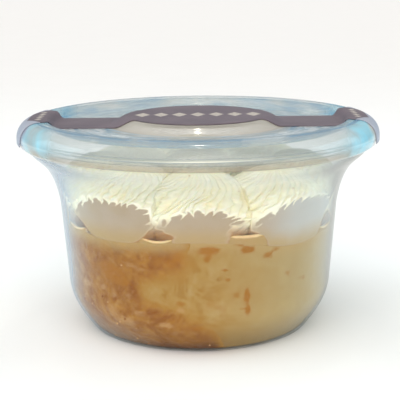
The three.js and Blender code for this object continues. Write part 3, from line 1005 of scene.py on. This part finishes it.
def edge_distance(x, z):
    """Signed distance from the milk's edge, positive inside the milk."""
    away = np.hypot(x[:, None] - ragged_edge[:, 0], z[:, None] - ragged_edge[:, 1])
    near = away.argmin(1)
    before = ragged_edge[np.maximum(near - 1, 0)]
    along = ragged_edge[np.minimum(near + 1, len(ragged_edge) - 1)] - before
    side = along[:, 0] * (z - before[:, 1]) - along[:, 1] * (x - before[:, 0])
    return away.min(1) * np.sign(side)


def mark_up(thing):
    """Stores the edge distance and the marks on a food piece."""
    count = len(thing.data.vertices)
    points = np.empty(count * 3)
    thing.data.vertices.foreach_get("co", points)
    x, y, z = points.reshape(-1, 3).T / MM
    marks = []
    for spots in (stains, flakes):
        total = np.zeros(count)
        for spot_x, spot_z, half_x, half_z, strength in spots:
            away = ((x - spot_x) / half_x) ** 2 + ((z - spot_z) / half_z) ** 2
            total += strength * np.exp(-away ** 1.4)
        marks.append(total * (y < 0))
    for label, values in (("border", edge_distance(x, z)), ("stain", marks[0]),
                          ("flake", marks[1]), ("depth", cake_top_at(x, y) - z)):
        layer = thing.data.attributes.new(label, "FLOAT", "POINT")
        layer.data.foreach_set("value", values.astype(np.float32))


# %% Finishes for the two
def spotted(graph, place, color):
    """Adds the caramel stains and pale flakes, with edges broken up by noise."""
    ragged = (graph.noise(place, 300, 6, 0.7, 1.2) - 0.5) * 1.8
    pale = graph.step(graph.attribute("flake") + ragged, 0.1, 1.0)
    dark = graph.step(graph.attribute("stain") + ragged, 0.15, 0.9)
    return coats(graph, color, (pale * 0.5, (192, 154, 104)), (dark * 0.9, (160, 102, 0)))


def topped(graph, color, cloud):
    """Milk gathers under the cream and fades downwards."""
    depth = graph.attribute("depth")
    return coats(graph, color, (graph.fall(depth + cloud * 3, 1.0, 5.5) * 0.9, (180, 152, 100)))


def soaked_sponge(graph, place):
    x, y, z = graph.xyz(place)
    border = graph.attribute("border")
    streaks = graph.noise(place, 95, 6, 0.62, 1.4)
    veins = graph.noise(place, 210, 5, 0.65, 0.7)
    pores = graph.node("ShaderNodeTexVoronoi", {"feature": "SMOOTH_F1"},
                       {"Vector": place, "Scale": 620.0, "Smoothness": 0.6})
    mottle = graph.noise(place, 420, 5, 0.7, 0.5)
    color = coats(
        graph, paint(138, 82, 0), (graph.step(streaks, 0.36, 0.62), (168, 116, 38)),
        (graph.step(veins, 0.5, 0.66) * 0.4, (180, 138, 72)),
        (graph.step(mottle, 0.54, 0.64) * 0.4, (182, 138, 72)),
        (graph.fall(mottle, 0.36, 0.46) * 0.4, (128, 74, 0)),
        (graph.fall(pores, 0.05, 0.3) * 0.3, (118, 62, 0)))
    color = spotted(graph, place, color)
    inner_side = graph.step(x / MM, -22, -8)
    low = graph.fall(z / MM + streaks * 5, 4.0, 12.0)
    lowest = graph.fall(z / MM + streaks * 3, 2.2, 5.5)
    color = coats(
        graph, color,
        (low * 0.85, coats(graph, paint(136, 102, 66), (inner_side, (126, 78, 0)))),
        (lowest * 0.85, coats(graph, paint(112, 84, 56), (inner_side, (86, 46, 0)))))
    color = topped(graph, color, streaks)
    color = coats(graph, color, (graph.step(border + streaks * 3, -1.0, 2.2), (166, 120, 42)))
    return principled(graph, color, 0.4, 0.2, {
        **soft_inside(0.15, (1.0, 0.5, 0.2), 1.5),
        "Normal": bumped(graph, streaks - pores * 0.4, 0.5)})


def pooled_milk(graph, place):
    x, y, z = graph.xyz(place)
    border = graph.attribute("border")
    cloud = graph.noise(place, 70, 5, 0.55, 0.8)
    patches = graph.noise(place, 170, 5, 0.65, 1.0)
    grit = graph.step(graph.noise(place, 480, 4, 0.7), 0.62, 0.68)
    soaks = graph.noise(place, 120, 5, 0.6, 0.9)
    left_side = graph.fall(x / MM + cloud * 10, 4, 18)
    back_side = graph.step(y / MM + cloud * 6, -10, 8)
    near_sponge = graph.fall(border + cloud * 4, 1.2, 5.5)
    color = coats(
        graph, paint(170, 134, 66), (graph.step(x / MM + cloud * 14, 6, 36), (174, 152, 104)),
        (graph.step(cloud, 0.5, 0.7) * 0.3, (180, 154, 98)),
        (graph.step(patches, 0.48, 0.6) * (left_side * 0.5 + 0.08), (154, 108, 26)),
        (graph.fall(patches, 0.36, 0.48) * 0.3, (182, 160, 112)),
        (grit * (left_side * 0.45 + 0.1), (140, 92, 16)),
        (graph.step(soaks, 0.5, 0.62) * back_side * 0.5, (168, 116, 36)),
        (graph.fall(soaks, 0.38, 0.5) * back_side * 0.5, (196, 172, 122)),
        (near_sponge * 0.8, (166, 120, 42)))
    color = spotted(graph, place, topped(graph, color, cloud))
    color = coats(graph, color, (graph.fall(z / MM + cloud * 3, 2.5, 12) * 0.75, (132, 106, 54)))
    return principled(graph, color, 0.3, 0.2, {
        **soft_inside(0.2, (1.0, 0.7, 0.4), 2.0), "Normal": bumped(graph, cloud, 0.3)})


sponge_finish = finish("soaked_sponge", soaked_sponge)
milk_finish = finish("milk_soak", pooled_milk)

# %% Cut the body in two
for name, operation, look, slot, node in (
        ("sponge_soaked", "DIFFERENCE", sponge_finish, "soaked_sponge", "sponge_cake"),
        ("milk_pool", "INTERSECT", milk_finish, "milk_soak", "milk")):
    half = cut(name, operation)
    half.data.materials.clear()
    half.data.materials.append(look)
    half.data.shade_smooth()
    half.data.set_sharp_from_angle(angle=math.radians(50))
    mark_up(half)
    seat(half, slot, node)
bpy.data.objects.remove(food)

# %% [markdown]
# ## Beads of milk and loose crumbs
# Where two rosettes meet, a small hollow is left above the cake and milk gathers in it as
# a bright bead along the plastic. A bead is a short bow swept along the wall, thin at its
# ends. Crumbs are small lumps, scattered over the sponge's side by Geometry Nodes.

# %% Beads along the wall
bead_steps, bead_sides = 60, 24
bead_foot = 0.9       # how far a bead reaches into the cake
bead_path = 38.5      # radius at which the cake's height is taken under a bead
bead_half = 0.45      # half of a bead's thickness
beads = [dict(angle=-16.6, height=32.0, half_angle=8.4, lift=1.7, crest=0.7),
         dict(angle=19.3, height=33.2, half_angle=10.0, lift=0.9, crest=1.0)]
for before, after in zip(in_order[2:], in_order[3:] + in_order[:1]):
    between = (before["angle"] + after["angle"] + (360 if after is in_order[0] else 0)) / 2
    level = float(cake_top_at(*around(bead_path, math.radians(between))))
    beads.append(dict(angle=between, height=level + 0.7, half_angle=9.0, lift=1.4, crest=0.7))


def milk_bead(graph, place):
    cloud = graph.noise(place, 300, 3)
    color = graph.blend(cloud, paint(226, 188, 128), paint(250, 226, 180))
    below = graph.fall(graph.attribute("crest") + (cloud - 0.5) * 0.4, 0.0, 0.6)
    color = coats(graph, color, (below, (180, 150, 98)))
    return principled(graph, color, 0.25, 0.3, {
        "Subsurface Weight": 0.3, "Subsurface Scale": 1.0 * MM})


bead_finish = finish("milk_bead", milk_bead)
for number, bead in enumerate(beads, 1):
    vertices, faces, crests = [], [], []
    for step in range(bead_steps + 1):
        u = 2 * step / bead_steps - 1
        angle = math.radians(bead["angle"] + bead["half_angle"] * u)
        low = cake_top_at(*around(bead_path, angle)) - bead_foot
        taper = math.sqrt(max(1 - abs(u) ** 4, 0.004))
        high = bead["height"] + bead["lift"] * abs(u) ** 2.2
        middle, half = (high + low) / 2, (high - low) / 2 * taper
        for side in range(bead_sides):
            turn = 2 * math.pi * side / bead_sides
            z = middle + half * math.sin(turn)
            wall = float(np.interp(z, inside[:, 1], inside[:, 0]))
            r = wall - bead_half + bead_half * taper * max(min(1.6 * math.cos(turn), 1), -1)
            vertices.append((*around(r, angle), z))
            crests.append(1 - (high - z) / bead["crest"] - 0.7 * abs(u) ** 5)
    for step in range(bead_steps):
        for side in range(bead_sides):
            a, b = step * bead_sides + side, step * bead_sides + (side + 1) % bead_sides
            faces.append((a, b, b + bead_sides, a + bead_sides))
    faces.append(tuple(range(bead_sides))[::-1])
    faces.append(tuple(bead_steps * bead_sides + side for side in range(bead_sides)))
    drop = piece(f"milk_bead_{number}", vertices, faces, bead_finish)
    layer = drop.data.attributes.new("crest", "FLOAT", "POINT")
    layer.data.foreach_set("value", crests)
    seat(drop, "milk_soak")

# %% Crumbs scattered on the sponge's side
crumb_inputs = {"Density": 60000.0, "Smallest": 0.15, "Largest": 0.42, "Seed": 4}


def build_crumb_tree():
    """Scatters lumps on upright faces of the sponge, clear of the milk and of the cream."""
    tree, graph, entry = new_tree("crumbs", crumb_inputs, takes_mesh=True)
    given = entry.out
    normal = graph.node("GeometryNodeInputNormal")
    place = graph.node("GeometryNodeInputPosition")
    up = abs(graph.xyz(normal)[2])
    near_wall = graph.math("LESS_THAN", up, 0.75)
    border, depth = (
        graph.node("GeometryNodeInputNamedAttribute", {"data_type": "FLOAT"}, {"Name": label})
        for label in ("border", "depth"))
    own_side = graph.math("LESS_THAN", border, -1.5) * graph.math("GREATER_THAN", depth, 3.0)
    patch = graph.step(graph.noise(place, 110, 3), 0.45, 0.62)
    points = graph.node("GeometryNodeDistributePointsOnFaces", values={
        "Mesh": given("Geometry"), "Density": patch * near_wall * own_side * given("Density"),
        "Seed": given("Seed")})
    lump = graph.node("GeometryNodeMeshIcoSphere", values={"Radius": 1.0 * MM, "Subdivisions": 2})
    lump_place = graph.node("GeometryNodeInputPosition")
    dent = graph.noise(lump_place, 1100, 2) * 0.9 + 0.55
    bend_reflection = graph.node("ShaderNodeVectorMath", {"operation": "SCALE"},
                      {"Vector": lump_place, "Scale": dent})
    lump = graph.node("GeometryNodeSetPosition", values={"Geometry": lump, "Position": bend_reflection})

    def drawn(kind, values):
        return graph.node("FunctionNodeRandomValue", {"data_type": kind}, values, "Value")

    size = drawn("FLOAT", {
        "Min": given("Smallest"), "Max": given("Largest"), "Seed": given("Seed")})
    spin = drawn("FLOAT_VECTOR", {"Max": (6.28, 6.28, 6.28), "Seed": given("Seed")})
    mesh = graph.node("GeometryNodeInstanceOnPoints", values={
        "Points": points, "Instance": lump, "Rotation": spin, "Scale": size})
    tone = drawn("FLOAT", {"Seed": 9})
    mesh = graph.node("GeometryNodeStoreNamedAttribute",
                      {"data_type": "FLOAT", "domain": "INSTANCE"},
                      {"Geometry": mesh, "Name": "tone", "Value": tone})
    end_tree(graph, mesh, given("Material"))
    return tree


def crumb_look(graph, place):
    tone = graph.attribute("tone")
    grain = graph.noise(place, 900, 3)
    color = graph.blend(graph.step(tone, 0.35, 0.75), paint(150, 90, 20), paint(206, 168, 118))
    color = coats(graph, color, (grain * 0.5, (176, 124, 60)))
    return principled(graph, color, 0.45, 0.2, {"Normal": bumped(graph, grain, 0.2)})


sponge = bpy.data.objects["sponge_soaked"]
crumbs = grown("crumbs", build_crumb_tree(), {
    **crumb_inputs, "Material": finish("crumb", crumb_look)}, sponge.data.copy())
seat(crumbs, "soaked_sponge")

# %% [markdown]
# ## Floor, light and camera
# A pale floor, a soft room and two wide suns stand for a bright studio. Two cool panels at
# the sides give clear plastic something to mirror, and one small warm lamp above and behind
# makes the glints along the lid's middle. The camera has the photograph's angle.

# %% Floor and room
def pale_floor(graph, place):
    speckle = graph.noise(place, 30, 3)
    color = graph.blend(speckle, (0.95, 0.95, 0.95, 1), (0.98, 0.98, 0.98, 1))
    return graph.node("ShaderNodeBsdfPrincipled", values={"Base Color": color, "Roughness": 0.7})


floor_half, floor_level = 3000, -0.05
floor = piece("floor", [(x * floor_half, y * floor_half, floor_level)
                        for x, y in ((-1, -1), (1, -1), (1, 1), (-1, 1))],
              [(0, 1, 2, 3)], finish("pale_floor", pale_floor))
if floor.data.polygons[0].normal.z < 0:
    floor.data.flip_normals()
floor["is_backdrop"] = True

room_light = 0.6
world = bpy.data.worlds.new("studio")
bpy.context.scene.world = world
world.use_nodes = True
room = Graph(world.node_tree)
up = room.xyz(room.node("ShaderNodeTexCoord", output="Generated"))[2]
sky = room.blend(room.step(up, 0.0, 0.55), paint(190, 198, 202), (1.0, 1.0, 1.0, 1))
seen = room.node("ShaderNodeLightPath", output="Is Camera Ray")
sky = room.blend(seen, sky, (1.0, 1.0, 1.0, 1))
background = room.node("ShaderNodeBackground", values={
    "Color": sky, "Strength": seen * (1 - room_light) + room_light})
room.node("ShaderNodeOutputWorld", values={"Surface": background})

# %% Lamps


def lamp(name, place, target, size, power, color=(1, 1, 1), kind="AREA"):
    """A soft lamp. Place, target and an area's size are in millimetres, a sun's in degrees."""
    light = bpy.data.lights.new(name, kind)
    if kind == "SUN":
        light.angle = math.radians(size)
    else:
        light.size = size * MM
    light.energy = power
    light.color = color
    thing = placed(name, light)
    thing.location = Vector(place) * MM
    thing.rotation_euler = (Vector(target) - Vector(place)).to_track_quat("-Z", "Y").to_euler()


lamp("key", (-220, -380, 560), (0, 0, 30), 75, 1.5, (1.0, 0.95, 0.88), kind="SUN")
lamp("fill", (140, -520, 150), (0, 0, 30), 60, 1.15, (1.0, 0.95, 0.88), kind="SUN")
lamp("cool_left", (-420, 60, 150), (0, 0, 50), 300, 0.55, (0.5, 0.85, 1.0))
lamp("cool_right", (420, 60, 150), (0, 0, 50), 300, 0.55, (0.5, 0.85, 1.0))
lamp("glint", (0, 160, 470), (0, 0, 57), 18, 0.1, (1.0, 0.95, 0.8))

# %% Camera
camera_place = (0, -311.66, 102.78)
camera_target = (0.35, 0, 34.65)
camera_roll = -0.59
focal_pixels, picture_pixels, sensor_width = 1112.3, 400, 36

camera = placed("camera", bpy.data.cameras.new("camera"))
camera.data.sensor_width = sensor_width
camera.data.lens = focal_pixels / picture_pixels * sensor_width
camera.data.clip_start = 0.01
camera.location = Vector(camera_place) * MM
look = (Vector(camera_target) - Vector(camera_place)).to_track_quat("-Z", "Y")
camera.rotation_euler = look.to_euler()
camera.rotation_euler.rotate_axis("Z", math.radians(camera_roll))

scene = bpy.context.scene
scene.camera = camera
scene.view_settings.view_transform = "Standard"
scene.cycles.transparent_max_bounces = 32
scene.cycles.max_bounces = 16

# %% Sizes of what is drawn
low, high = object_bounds()
print("visual", [round(v, 4) for v in (*low, *high)])
